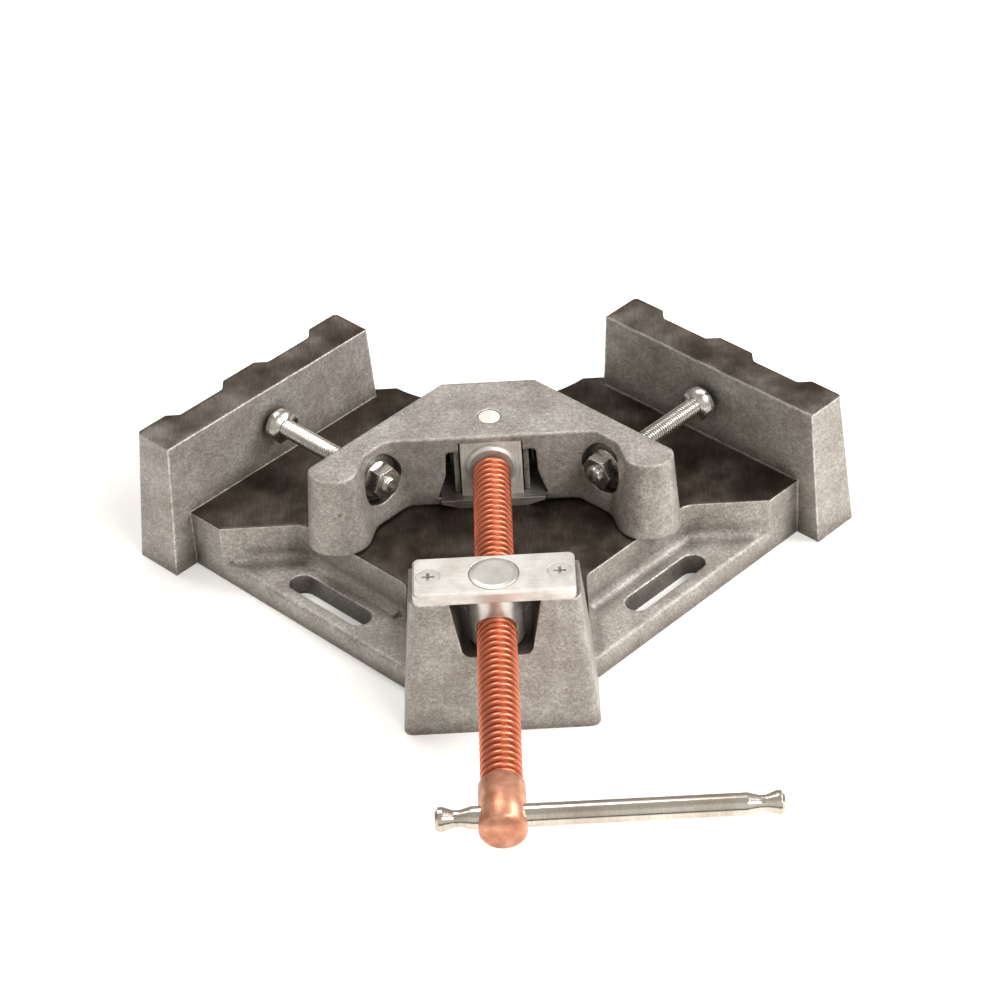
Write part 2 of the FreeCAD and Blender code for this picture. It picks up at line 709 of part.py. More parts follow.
def retaining_pin_foot(side):
    """Lower end of a pin that runs up the block and grips the groove in the nose."""
    root = neck_diameter / 2 - groove_depth
    return Vector(side * (root + slide_gap + retaining_pin_diameter / 2), groove_middle(), block_bottom)


def retaining_pin(side):
    return cylinder(retaining_pin_diameter, retaining_pin_foot(side), Vector(0, 0, 1),
                    block_top - block_bottom - slide_gap)


def thrust_ring():
    """Ring on the screw's neck that bears on the block's front face."""
    bore = neck_diameter / 2 + 2 * running_fit
    outer = ring_diameter / 2
    start = Vector(0, block_front - ring_thickness, screw_z)
    return turned([(0, bore), (0, outer - ring_chamfer), (ring_chamfer, outer), (ring_thickness, outer),
                   (ring_thickness, bore)], start, Vector(0, 1, 0), Vector(1, 0, 0))


def pivot_pin():
    """Pin pressed into the jaw's roof, with its foot in the keeper plate."""
    foot = keeper_bottom + pin_foot_lift
    length = jaw_top - foot
    radius = pin_diameter / 2
    return turned([(0, 0), (0, radius - EDGE_BREAK), (EDGE_BREAK, radius), (length - EDGE_BREAK, radius),
                   (length, radius - EDGE_BREAK), (length, 0)],
                  Vector(0, pin_y, foot), Vector(0, 0, 1), Vector(1, 0, 0))


def keeper_plate():
    """Plate that closes the jaw's pocket from below and slides on the seat."""
    half = keeper_width / 2
    front = jaw_rear_y - keeper_proud
    right_half = [(half, front, 0), (half, front + keeper_depth, keeper_corner_radius)]
    plate = prism(both_sides(right_half), keeper_bottom, keeper_top)
    for side in (-1, 1):
        edge = Vector(side * half, front - OVER, keeper_bottom)
        bevel = [edge, edge - Vector(side * keeper_bevel, 0, 0), edge + Vector(0, 0, keeper_bevel_rise), edge]
        plate = plate.cut(Part.Face(Part.makePolygon(bevel)).extrude(Vector(0, keeper_bevel_run + OVER, 0)))
        plate = plate.cut(countersink(keeper_screw_foot(side), Vector(0, 0, 1), keeper_screw_thread,
                                      keeper_screw_head, keeper_thickness + OVER))
    return plate.cut(cylinder(pin_diameter, Vector(0, pin_y, keeper_bottom - OVER), Vector(0, 0, 1),
                              keeper_thickness + 2 * OVER))


def keeper_screw_foot(side):
    far_edge = jaw_rear_y - keeper_proud + keeper_depth
    return Vector(side * keeper_screw_spread, far_edge - keeper_screw_edge, keeper_bottom + keeper_screw_sunk)


def keeper_screw(side):
    return countersunk_screw(keeper_screw_foot(side), Vector(0, 0, 1), keeper_screw_thread,
                             keeper_screw_head, keeper_screw_length)


def jaw_bolt(side):
    """Full-thread hexagon bolt through the jaw, with its head towards the fence."""
    face, out = bolt_frame(side)
    up = Vector(0, 0, 1)
    under_head = face + out * (jaw_face_gap - bolt_head_gap - bolt_head_height)
    radius = bolt_diameter / 2
    shank = turned([(0, 0), (0, radius), (bolt_length - bolt_tip_chamfer, radius),
                    (bolt_length, radius - bolt_tip_chamfer), (bolt_length, 0)], under_head, out * -1, up)
    return shank.fuse(hexagon(hex_across_flats, under_head, out, up, bolt_head_height)).removeSplitter()


def lock_washer(side):
    face, out = bolt_frame(side)
    start = face - out * arm_wall
    ring = cylinder(lock_washer_diameter, start, out * -1, lock_washer_thickness)
    return ring.cut(cylinder(bolt_diameter + 2 * washer_gap, start + out * OVER, out * -1,
                             lock_washer_thickness + 2 * OVER))


def lock_nut(side):
    face, out = bolt_frame(side)
    start = face - out * (arm_wall + lock_washer_thickness)
    nut = hexagon(hex_across_flats, start, out * -1, Vector(0, 0, 1), lock_nut_height)
    return nut.cut(cylinder(bolt_diameter + 2 * running_fit, start + out * OVER, out * -1,
                            lock_nut_height + 2 * OVER))


def pieces():
    """Every piece by its node name."""
    clamp = {
        "base_casting": base_casting(),
        "cover_plate": cover_plate(),
        "pivot_washer": pivot_washer(),
        "swivel_nut": swivel_nut(),
        "spindle": spindle(),
        "tommy_bar": tommy_bar(),
        "thrust_ring": thrust_ring(),
        "thrust_block": thrust_block(),
        "jaw_pivot_pin": pivot_pin(),
        "moving_jaw": moving_jaw(),
        "keeper_plate": keeper_plate(),
    }
    for side, name in ((-1, "left"), (1, "right")):
        clamp["cover_screw_" + name] = cover_screw(side)
        clamp["retaining_pin_" + name] = retaining_pin(side)
        clamp["keeper_screw_" + name] = keeper_screw(side)
        clamp["jaw_bolt_" + name] = jaw_bolt(side)
        clamp["lock_washer_" + name] = lock_washer(side)
        clamp["lock_nut_" + name] = lock_nut(side)
    return clamp


os.makedirs("parts", exist_ok=True)
for node, shape in pieces().items():
    shape.exportStep("parts/" + node + ".step")
    print(node, shape.isValid(), len(shape.Solids), round(shape.Volume / 1000, 2), "cm3")
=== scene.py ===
import math

import bmesh
import bpy
from mathutils import Matrix, Vector


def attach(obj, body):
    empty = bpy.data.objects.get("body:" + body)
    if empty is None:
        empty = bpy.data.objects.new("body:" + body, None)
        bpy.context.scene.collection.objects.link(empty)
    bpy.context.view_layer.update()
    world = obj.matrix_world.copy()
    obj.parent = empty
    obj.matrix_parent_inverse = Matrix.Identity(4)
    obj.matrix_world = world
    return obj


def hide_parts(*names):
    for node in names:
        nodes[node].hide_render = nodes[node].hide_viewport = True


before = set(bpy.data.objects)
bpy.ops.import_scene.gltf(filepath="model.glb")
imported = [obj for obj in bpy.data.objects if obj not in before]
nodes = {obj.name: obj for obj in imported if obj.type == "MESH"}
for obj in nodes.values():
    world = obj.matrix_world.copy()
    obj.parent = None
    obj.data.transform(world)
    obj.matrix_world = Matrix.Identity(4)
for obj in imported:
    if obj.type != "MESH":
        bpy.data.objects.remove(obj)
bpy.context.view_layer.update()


# ---- Floor, light and camera -------------------------------------------------------------
# The clamp stands on pale paper, with a bright wall in front of it and a dimmer room behind.
# In a reflection the paper is dark past the table's front edge, which draws the thin dark
# line along the polished bar. Soft boxes on the right give the castings their bright edges.

def linear(hex_colour):
    """An sRGB colour such as "A8A29C" as the linear values that a shader takes."""
    values = [int(hex_colour[i:i + 2], 16) / 255 for i in (0, 2, 4)]
    return tuple(v / 12.92 if v <= 0.04045 else ((v + 0.055) / 1.055) ** 2.4
                 for v in values) + (1.0,)


def add(tree, kind, sockets=(), stops=(), **settings):
    """Adds a node, sets its properties and ramp colours, and fills or links its inputs.

    The inputs stand in order, or are a dict by name or number.
    """
    made = tree.nodes.new("ShaderNode" + kind)
    for name, value in settings.items():
        setattr(made, name, value)
    for name, value in sockets.items() if isinstance(sockets, dict) else enumerate(sockets):
        if isinstance(value, bpy.types.NodeSocket):
            tree.links.new(value, made.inputs[name])
        else:
            made.inputs[name].default_value = value
    if stops:
        elements = made.color_ramp.elements
        while len(elements) < len(stops):
            elements.new(1.0)
        for element, (position, colour) in zip(elements, stops):
            element.position = position
            element.color = linear(colour)
    return made


def empty_material(name):
    made = bpy.data.materials.new(name)
    made.use_nodes = True
    made.node_tree.nodes.clear()
    return made, made.node_tree


def keep_mesh(bm, name):
    """Turns a finished bmesh into an object at the origin."""
    mesh = bpy.data.meshes.new(name)
    bm.to_mesh(mesh)
    bm.free()
    made = bpy.data.objects.new(name, mesh)
    bpy.context.scene.collection.objects.link(made)
    return made


# Matt paper. It glows a little for the camera and in reflections, so that it reads as white
# while its shadows stay, and is open from below, so that the underside can be seen.
FLOOR_HALF = 4.0
TABLE_EDGE = (-0.26, -0.30)     # y where the paper starts to darken in reflections, and is dark
floor_material, tree = empty_material("studio_floor_paper")
rays = add(tree, "LightPath").outputs
spot = add(tree, "SeparateXYZ", (add(tree, "TexCoord").outputs["Object"],)).outputs
past_table = add(tree, "MapRange", (spot["Y"], *TABLE_EDGE)).outputs[0]
dim = add(tree, "Math", (rays["Is Glossy Ray"], past_table), operation="MULTIPLY").outputs[0]
shade = add(tree, "ValToRGB", (dim,), stops=((0.0, "EDEAE6"), (1.0, "1E1A17"))).outputs[0]
paper = add(tree, "BsdfDiffuse", {"Color": shade}).outputs[0]
glow = add(tree, "Emission", {"Color": linear("FFFEFC"), "Strength": 0.22}).outputs[0]
no_glow = add(tree, "Emission", {"Strength": 0.0}).outputs[0]
mirrored = add(tree, "Math", (rays["Is Glossy Ray"], dim), operation="SUBTRACT").outputs[0]
seen = add(tree, "Math", (rays["Is Camera Ray"], mirrored), operation="MAXIMUM").outputs[0]
glow_seen = add(tree, "MixShader", (seen, no_glow, glow)).outputs[0]
lit_paper = add(tree, "AddShader", (paper, glow_seen)).outputs[0]
from_below = add(tree, "NewGeometry").outputs["Backfacing"]
open_air = add(tree, "BsdfTransparent").outputs[0]
surface = add(tree, "MixShader", (from_below, lit_paper, open_air)).outputs[0]
add(tree, "OutputMaterial", {"Surface": surface})

bm = bmesh.new()
bmesh.ops.create_grid(bm, x_segments=1, y_segments=1, size=FLOOR_HALF)
floor = keep_mesh(bm, "floor")
floor.data.materials.append(floor_material)

# The room, which only reflections and soft light see; the camera sees a white backdrop.
ROOM_STRENGTH, WALL_STRENGTH = 0.58, 0.76
world = bpy.data.worlds.new("studio")
bpy.context.scene.world = world
world.use_nodes = True
tree = world.node_tree
tree.nodes.clear()
way = add(tree, "SeparateXYZ", (add(tree, "TexCoord").outputs["Generated"],)).outputs
in_front = add(tree, "MapRange", (way["Y"], 0.25, -0.35)).outputs[0]
low_down = add(tree, "MapRange", (way["Z"], 0.80, 0.62)).outputs[0]
wall = add(tree, "Math", (in_front, low_down), operation="MULTIPLY").outputs[0]
room = add(tree, "ValToRGB", (way["Z"],), stops=((0.02, "A39E98"), (0.75, "D9D6D2"))).outputs[0]
colour = add(tree, "Mix", {0: wall, 6: room, 7: linear("FFFDF9")}, data_type="RGBA").outputs[2]
strength = add(tree, "MapRange", (wall, 0, 1, ROOM_STRENGTH, WALL_STRENGTH)).outputs[0]
sky = add(tree, "Background", (colour, strength)).outputs[0]
backdrop = add(tree, "Background", (linear("FFFFFF"), 1.0)).outputs[0]
to_camera = add(tree, "LightPath").outputs["Is Camera Ray"]
surface = add(tree, "MixShader", (to_camera, sky, backdrop)).outputs[0]
add(tree, "OutputWorld", {"Surface": surface})

CLAMP_MIDDLE = Vector((0.0, 0.08, 0.03))
for name, place, size, watts in (
        ("key_right", (1.10, 0.10, 1.00), (0.7, 0.5), 17.0),
        ("top_back", (-0.30, 0.60, 1.50), (0.8, 0.5), 11.0),
        ("front_top", (0.80, -1.05, 1.25), (0.7, 0.4), 15.0)):
    light = bpy.data.lights.new(name, "AREA")
    light.shape = "RECTANGLE"
    light.size, light.size_y = size
    light.energy = watts
    soft_box = bpy.data.objects.new(name, light)
    bpy.context.scene.collection.objects.link(soft_box)
    soft_box.location = place
    soft_box.rotation_euler = (CLAMP_MIDDLE - Vector(place)).to_track_quat("-Z", "Y").to_euler()

azimuth, elevation, roll = -0.0164, 0.6511, -0.0624     # radians, as solved from the photograph
camera_place = (0.0199, -0.9506, 0.8293)
ahead = Vector((math.sin(azimuth) * math.cos(elevation),
                math.cos(azimuth) * math.cos(elevation), -math.sin(elevation)))
right = Vector((math.cos(azimuth), -math.sin(azimuth), 0))
above = right.cross(ahead)
turned_right = right * math.cos(roll) + above * math.sin(roll)
turned_up = above * math.cos(roll) - right * math.sin(roll)
camera_data = bpy.data.cameras.new("camera")
camera_data.sensor_width = 36.0
camera_data.lens = 112.04
camera_data.clip_start, camera_data.clip_end = 0.01, 20.0
camera = bpy.data.objects.new("camera", camera_data)
bpy.context.scene.collection.objects.link(camera)
camera.matrix_world = Matrix([
    (turned_right[i], turned_up[i], -ahead[i], camera_place[i]) for i in range(3)] + [(0, 0, 0, 1)])
bpy.context.scene.camera = camera
bpy.context.scene.view_settings.view_transform = "Standard"


# ---- Base and jaw castings ---------------------------------------------------------------
# Grey iron castings, sand cast and sprayed with a silver-grey hammered enamel. The coat is
# mottled, painted bright along every edge as wear and as painted highlight, and is milled away on
# the seat and fence tops.

def edge_mask(tree, radius_mm, low, high):
    """Rounded normal, and 1 where the surface bends within a radius, where edges are painted bright
    as wear and as painted highlight.
    """
    rounded = add(tree, "Bevel", {"Radius": radius_mm / 1000}, samples=8).outputs[0]
    true = add(tree, "NewGeometry").outputs["Normal"]
    same = add(tree, "VectorMath", (rounded, true), operation="DOT_PRODUCT").outputs["Value"]
    return rounded, add(tree, "MapRange", (same, high, low)).outputs[0]


def mottle(tree, place, grain_mm, detail, stretch=(1, 1, 1), roughness=0.55):
    """Noise whose grains are about grain_mm across; a small stretch draws them into lines."""
    stretched = add(tree, "VectorMath", (place, stretch), operation="MULTIPLY").outputs[0]
    return add(tree, "TexNoise", {"Vector": stretched, "Scale": 1000 / grain_mm,
                                  "Detail": detail, "Roughness": roughness}).outputs["Fac"]


def rust_mask(tree, place, grain, rust_spots):
    """1 in ragged round spots, each given by its x, y, z and radius in mm."""
    ragged = add(tree, "MapRange", (grain, 0.3, 0.7, -0.0012, 0.0012)).outputs[0]
    spots = 0.0
    for x, y, z, radius in rust_spots:
        middle = (x / 1000, y / 1000, z / 1000)
        away = add(tree, "VectorMath", (place, middle), operation="DISTANCE").outputs["Value"]
        away = add(tree, "Math", (away, ragged), operation="ADD").outputs[0]
        spot = add(tree, "MapRange", (away, radius / 1000, radius / 3000)).outputs[0]
        spots = add(tree, "Math", (spots, spot), operation="MAXIMUM").outputs[0]
    return spots


def milled_mask(tree, height, upward, levels_mm):
    """1 on faces that look up at one of the heights."""
    cut = 0.0
    for level in levels_mm:
        off = add(tree, "Math", (height, level / 1000), operation="SUBTRACT").outputs[0]
        off = add(tree, "Math", (off,), operation="ABSOLUTE").outputs[0]
        near = add(tree, "MapRange", (off, 0.0006, 0.0003)).outputs[0]
        cut = add(tree, "Math", (cut, near), operation="MAXIMUM").outputs[0]
    flat = add(tree, "MapRange", (upward, 0.90, 0.99)).outputs[0]
    return add(tree, "Math", (cut, flat), operation="MULTIPLY").outputs[0]


def milled_iron(tree, place, height, rounded):
    """Bare milled iron with oil stains, painted dark on the seat, which lies in shade, and lighter
    on the fence tops, which catch the light.
    """
    # Cutter lines are about 0.2 mm apart, too fine to show, so they are drawn 0.7 mm apart.
    streaks = mottle(tree, place, 0.7, 4.0, (1, 0.10, 1))
    stains = mottle(tree, place, 19.0, 5.0)
    seat_in_shade = add(tree, "ValToRGB", (streaks,),
               stops=((0.25, "544B44"), (0.52, "5F5750"), (0.78, "706861"))).outputs[0]
    fence_tops_in_light = add(tree, "ValToRGB", (streaks,),
                     stops=((0.25, "7D756E"), (0.52, "8C847D"), (0.78, "A29A92"))).outputs[0]
    # Painted light: the low seat is painted as shaded, the high fence tops as lit.
    high_up = add(tree, "MapRange", (height, 0.03, 0.06)).outputs[0]
    colour = add(tree, "Mix", {0: high_up, 6: seat_in_shade, 7: fence_tops_in_light}, data_type="RGBA").outputs[2]
    oil = add(tree, "ValToRGB", (stains,),
              stops=((0.34, "8A7B6F"), (0.50, "C2BAB2"), (0.66, "FFFFFF"))).outputs[0]
    colour = add(tree, "Mix", {0: 0.9, 6: colour, 7: oil}, data_type="RGBA",
                 blend_type="MULTIPLY").outputs[2]
    bumps = add(tree, "Bump", {"Height": streaks, "Normal": rounded, "Strength": 0.25,
                               "Distance": 0.00015}).outputs[0]
    roughness = add(tree, "MapRange", (stains, 0.3, 0.7, 0.30, 0.46)).outputs[0]
    return add(tree, "BsdfPrincipled", {"Base Color": colour, "Metallic": 0.85,
                                        "Roughness": roughness, "Normal": bumps}).outputs[0]


def hammered_enamel(name, milled_levels, rust_spots):
    """Silver hammered enamel on iron, with bare upward faces at the milled levels in mm."""
    made, tree = empty_material(name)
    where = add(tree, "TexCoord").outputs
    place = where["Object"]
    upward = add(tree, "SeparateXYZ", (where["Normal"],)).outputs["Z"]
    rounded, bend = edge_mask(tree, 1.8, 0.80, 0.99)

    # The hammer figure, about 1 mm across, is two grains laid over each other; a slow cloud
    # is the uneven coat, and the rare deep pits come from the sand mould.
    fine = mottle(tree, place, 0.6, 5.0, roughness=0.65)
    grain = mottle(tree, place, 1.7, 5.0, roughness=0.60)
    cloud = mottle(tree, place, 13.0, 3.0)
    pits = mottle(tree, place, 2.6, 4.0)
    dapple = add(tree, "Math", (fine, 1.6, grain), operation="MULTIPLY_ADD").outputs[0]
    figure = add(tree, "MapRange", (dapple, 0.78, 1.82)).outputs[0]
    colour = add(tree, "ValToRGB", (figure,), stops=((0.20, "88827B"), (0.42, "9E9891"),
                                                     (0.56, "ABA59E"), (0.78, "C6C0B9"))).outputs[0]
    coat = add(tree, "ValToRGB", (cloud,), stops=((0.32, "CFCBC6"), (0.68, "FFFFFF"))).outputs[0]
    colour = add(tree, "Mix", {0: 0.8, 6: colour, 7: coat}, data_type="RGBA",
                 blend_type="MULTIPLY").outputs[2]
    speck = add(tree, "MapRange", (pits, 0.31, 0.25, 0, 0.6)).outputs[0]
    colour = add(tree, "Mix", {0: speck, 6: colour, 7: linear("3E3731")},
                 data_type="RGBA").outputs[2]

    # Edges are painted bright in patches: partly rubbed down to bright iron, partly a painted
    # highlight.
    patches = add(tree, "MapRange", (grain, 0.36, 0.60, 0.25, 1.0)).outputs[0]
    highlit_and_worn_edge = add(tree, "Math", (bend, patches), operation="MULTIPLY").outputs[0]
    wear_and_highlight = add(tree, "MapRange", (highlit_and_worn_edge, 0, 1, 0, 0.85)).outputs[0]
    colour = add(tree, "Mix", {0: wear_and_highlight, 6: colour, 7: linear("EDE9E3")},
                 data_type="RGBA").outputs[2]

    # Painted shade darkens every recess, found by occlusion; a face that points down on the table
    # counts only its own piece, so the table doesn't darken it.
    reach = 0.014
    near_all = add(tree, "AmbientOcclusion", {"Distance": reach}, samples=6).outputs["AO"]
    near_self = add(tree, "AmbientOcclusion", {"Distance": reach}, samples=6,
                    only_local=True).outputs["AO"]
    down = add(tree, "MapRange", (upward, -0.5, -0.8)).outputs[0]
    clear = add(tree, "Mix", {0: down, 2: near_all, 3: near_self}, data_type="FLOAT").outputs[0]
    recess_shade = add(tree, "ValToRGB", (clear,),
               stops=((0.12, "241F1B"), (0.45, "8F8982"), (0.85, "FFFFFF"))).outputs[0]
    colour = add(tree, "Mix", {0: 0.9, 6: colour, 7: recess_shade}, data_type="RGBA",
                 blend_type="MULTIPLY").outputs[2]

    rust = rust_mask(tree, place, grain, rust_spots)
    browned = add(tree, "MapRange", (rust, 0, 1, 0, 0.85)).outputs[0]
    colour = add(tree, "Mix", {0: browned, 6: colour, 7: linear("4A3222")},
                 data_type="RGBA").outputs[2]
    gloss = add(tree, "MapRange", (fine, 0.3, 0.7, 0.50, 0.34)).outputs[0]
    matt = add(tree, "MapRange", (rust, 0, 1, 0, 0.4)).outputs[0]
    roughness = add(tree, "Math", (gloss, matt), operation="ADD").outputs[0]
    metal = add(tree, "MapRange", (highlit_and_worn_edge, 0, 1, 0.30, 0.80)).outputs[0]

    dimples = add(tree, "Bump", {"Height": dapple, "Normal": rounded, "Strength": 0.42,
                                 "Distance": 0.00028}).outputs[0]
    waves = add(tree, "Bump", {"Height": cloud, "Normal": dimples, "Strength": 0.5,
                               "Distance": 0.0012}).outputs[0]
    surface = add(tree, "BsdfPrincipled", {
        "Base Color": colour, "Roughness": roughness, "Metallic": metal, "Normal": waves,
        "Coat Weight": 0.10, "Coat Roughness": 0.25}).outputs[0]
    if milled_levels:
        height = add(tree, "SeparateXYZ", (place,)).outputs["Z"]
        bare = milled_mask(tree, height, upward, milled_levels)
        iron = milled_iron(tree, place, height, rounded)
        surface = add(tree, "MixShader", (bare, surface, iron)).outputs[0]
    add(tree, "OutputMaterial", {"Surface": surface})
    return made


def dress(node, material):
    """Gives a CAD piece its finish."""
    mesh = nodes[node].data
    mesh.materials.clear()
    mesh.materials.append(material)


SEAT_MM, FENCE_TOP_MM = 27.5, 64.5
dress("base_casting", hammered_enamel("hammered_enamel_base", (SEAT_MM, FENCE_TOP_MM),
                                      [(-42.0, 49.0, 10.0, 3.2)]))
dress("moving_jaw", hammered_enamel("hammered_enamel_jaw", (), [(-64.0, 69.0, 47.0, 1.8)]))


# ---- Cover plate, its screws and the swivel nut -------------------------------------------
# The plate is zinc-plated flat bar, brushed along its length; two countersunk screws hold it
# on the tower. The nut is fine turned, and its trunnion shows in the plate.

def brushed_steel(name, low, high, rough, grain_mm=0.6, stretch=(1, 1, 1), bevel_mm=0.35,
                  cloud_mm=9.0, metallic=1.0, mark_mm=0.05):
    """Bare or plated steel with tool marks, between a low and a high colour.

    Real tool marks are 0.05 to 0.2 mm apart, too fine to show, so they are drawn coarser.
    """
    made, tree = empty_material(name)
    place = add(tree, "TexCoord").outputs["Object"]
    rounded, bend = edge_mask(tree, bevel_mm, 0.82, 0.99)
    lines = mottle(tree, place, grain_mm, 5.0, stretch)
    cloud = mottle(tree, place, cloud_mm, 4.0)
    colour = add(tree, "ValToRGB", (lines,), stops=((0.30, low), (0.70, high))).outputs[0]
    haze = add(tree, "ValToRGB", (cloud,), stops=((0.30, "CFCAC4"), (0.62, "FFFFFF"))).outputs[0]
    colour = add(tree, "Mix", {0: 0.8, 6: colour, 7: haze}, data_type="RGBA",
                 blend_type="MULTIPLY").outputs[2]
    # Edges are painted bright, partly as wear and partly as painted highlight.
    wear_and_highlight = add(tree, "MapRange", (bend, 0, 1, 0, 0.5)).outputs[0]
    colour = add(tree, "Mix", {0: wear_and_highlight, 6: colour, 7: linear("F5F2EE")},
                 data_type="RGBA").outputs[2]
    scratched = add(tree, "MapRange", (lines, 0.3, 0.7, rough + 0.06, rough - 0.06)).outputs[0]
    smeared = add(tree, "MapRange", (cloud, 0.3, 0.7, 0.05, -0.03)).outputs[0]
    roughness = add(tree, "Math", (scratched, smeared), operation="ADD").outputs[0]
    marks = add(tree, "Bump", {"Height": lines, "Normal": rounded, "Strength": 0.22,
                               "Distance": mark_mm / 1000}).outputs[0]
    steel = add(tree, "BsdfPrincipled", {"Base Color": colour, "Metallic": metallic,
                                         "Roughness": roughness, "Normal": marks}).outputs[0]
    add(tree, "OutputMaterial", {"Surface": steel})
    return made


# Brushed zinc is nearly white, with soft lines along the bar.
dress("cover_plate", brushed_steel("zinc_plated_flat_bar", "DAD5CE", "F2EEE9", 0.38, 0.5,
                                   (0.05, 1, 1), metallic=0.6))
# Fine turning leaves the nut a satin silver, without lines that the eye can tell apart.
dress("swivel_nut", brushed_steel("fine_turned_nut_steel", "CFCAC3", "EAE6E0", 0.32, 0.5,
                                  metallic=0.7, mark_mm=0.02))
# Hardening and oil leave the washer a dull dark grey.
dress("pivot_washer", brushed_steel("hardened_washer_steel", "6E6B68", "94918D", 0.42))
# Bright zinc on small fasteners mirrors the room softly; the screw heads are more worn.
zinc = brushed_steel("bright_zinc_fastener", "C4C1BB", "DAD7D1", 0.29, 0.9, bevel_mm=0.25,
                     cloud_mm=4.0, mark_mm=0.01)
worn_zinc = brushed_steel("bright_zinc_screw", "D0CDC7", "EBE8E3", 0.34, bevel_mm=0.25,
                          metallic=0.6)
for side in ("left", "right"):
    for node in ("lock_nut_", "lock_washer_"):
        dress(node + side, zinc)
    for node in ("cover_screw_", "keeper_screw_"):
        dress(node + side, worn_zinc)


# ---- Screw spindle -------------------------------------------------------------------------
# Copper-plated screw: a 16 mm trapezoidal thread of 3.5 mm pitch rolled on a turned bar, with a
# thicker plain head for the bar. The plate is satin; its colour is painted paler on the crests as
# highlight and darker in the root as shade.

def thread(start, end, outer, depth, pitch, crest, steps, end_chamfer):
    """A right-hand thread along +Y from start to end, round the Y axis, closed at both ends."""
    bm = bmesh.new()
    flank = depth * math.tan(math.radians(20))
    land = (pitch - crest - 2 * flank) / 2
    ease = depth * 0.16
    root = outer - depth
    outline = [(0, root), (land - ease, root), (land + ease * 0.5, root + ease),
               (land + flank - ease * 0.5, outer - ease), (land + flank + ease, outer),
               (land + flank + crest - ease, outer),
               (land + flank + crest + ease * 0.5, outer - ease),
               (pitch - land - ease * 0.5, root + ease), (pitch - land + ease, root),
               (pitch, root)]
    first = [bm.verts.new((radius, start - pitch + along, 0)) for along, radius in outline]
    line = [bm.edges.new(pair) for pair in zip(first, first[1:])]
    bmesh.ops.spin(bm, geom=first + line, cent=(0, 0, 0), axis=(0, 1, 0),
                   dvec=(0, pitch / steps, 0), angle=2 * math.pi, steps=steps, use_merge=False)
    turns = 1
    while turns * pitch < end - start + 2 * pitch:
        copy = bmesh.ops.duplicate(bm, geom=bm.verts[:] + bm.edges[:] + bm.faces[:])
        moved = [item for item in copy["geom"] if isinstance(item, bmesh.types.BMVert)]
        bmesh.ops.translate(bm, vec=(0, turns * pitch, 0), verts=moved)
        turns *= 2
    bmesh.ops.remove_doubles(bm, verts=bm.verts, dist=pitch * 0.002)
    for level, direction in ((start, -1), (end, 1)):
        cut = bmesh.ops.bisect_plane(bm, geom=bm.verts[:] + bm.edges[:] + bm.faces[:], dist=1e-7,
                                     plane_co=(0, level, 0), plane_no=(0, direction, 0),
                                     clear_outer=True)
        rim = [item for item in cut["geom_cut"] if isinstance(item, bmesh.types.BMEdge)]
        bmesh.ops.edgeloop_fill(bm, edges=rim)
    for vert in bm.verts:
        radius = math.hypot(vert.co.x, vert.co.z)
        limit = outer - end_chamfer + min(vert.co.y - start, end - vert.co.y)
        if radius > limit > 0:
            vert.co.x *= limit / radius
            vert.co.z *= limit / radius
    bmesh.ops.recalc_face_normals(bm, faces=bm.faces)
    return bm


def part_of(node, point, direction):
    """A merged copy of a CAD piece, cut by a plane and kept on the side it points to."""
    bm = bmesh.new()
    bm.from_mesh(nodes[node].data)
    bmesh.ops.remove_doubles(bm, verts=bm.verts, dist=1e-6)
    cut = bmesh.ops.bisect_plane(bm, geom=bm.verts[:] + bm.edges[:] + bm.faces[:], dist=1e-7,
                                 plane_co=point, plane_no=direction, clear_inner=True)
    rim = [item for item in cut["geom_cut"] if isinstance(item, bmesh.types.BMEdge)]
    bmesh.ops.edgeloop_fill(bm, edges=rim)
    return bm


def joined(bms, name, sharp_degrees):
    """One smooth object from several bmeshes, sharp over corners of more than so many degrees."""
    whole = bmesh.new()
    for bm in bms:
        piece = bpy.data.meshes.new("piece")
        bm.to_mesh(piece)
        bm.free()
        whole.from_mesh(piece)
        bpy.data.meshes.remove(piece)
    made = keep_mesh(whole, name)
    made.data.shade_smooth()
    made.data.set_sharp_from_angle(angle=math.radians(sharp_degrees))
    return made


OVERLAP = 0.0002                # how far a threaded rod and the plain part cut for it share
SCREW_Z = 0.048
SCREW_RADIUS = 0.008
SCREW_PITCH = 0.0035
SCREW_THREAD_DEPTH = 0.0014
SCREW_CREST = 0.0014
SCREW_THREAD_CHAMFER = 0.0013
THREAD_START, THREAD_END = -0.100, 0.0958
spindle_thread = thread(THREAD_START, THREAD_END, SCREW_RADIUS, SCREW_THREAD_DEPTH, SCREW_PITCH,
                        SCREW_CREST, 48, SCREW_THREAD_CHAMFER)
bmesh.ops.translate(spindle_thread, verts=spindle_thread.verts, vec=(0, 0, SCREW_Z))
head_part = part_of("spindle", (0, THREAD_START + OVERLAP, SCREW_Z), (0, -1, 0))
nose_part = part_of("spindle", (0, THREAD_END - OVERLAP, SCREW_Z), (0, 1, 0))
spindle = joined([spindle_thread, head_part, nose_part], "spindle_threaded", 40)

# Copper plate on steel: painted salmon on the crests as highlight and brown-red in the thread's
# root as painted shade. The head is paler, as hands and the bar polish it. Turned rings, really 0.1
# mm apart, are drawn 0.5 mm apart.
copper, tree = empty_material("copper_plated_steel")
where = add(tree, "TexCoord").outputs["Object"]
on_axis = add(tree, "Mapping", {"Vector": where, "Location": (0, 0, -SCREW_Z)}).outputs[0]
axes = add(tree, "SeparateXYZ", (on_axis,)).outputs
across = add(tree, "CombineXYZ", {"X": axes["X"], "Y": axes["Z"]}).outputs[0]
radius = add(tree, "VectorMath", (across,), operation="LENGTH").outputs["Value"]
rounded, bend = edge_mask(tree, 0.35, 0.80, 0.98)
rings = mottle(tree, where, 0.5, 4.0, (0.05, 1, 0.05))
cloud = mottle(tree, where, 6.0, 5.0)
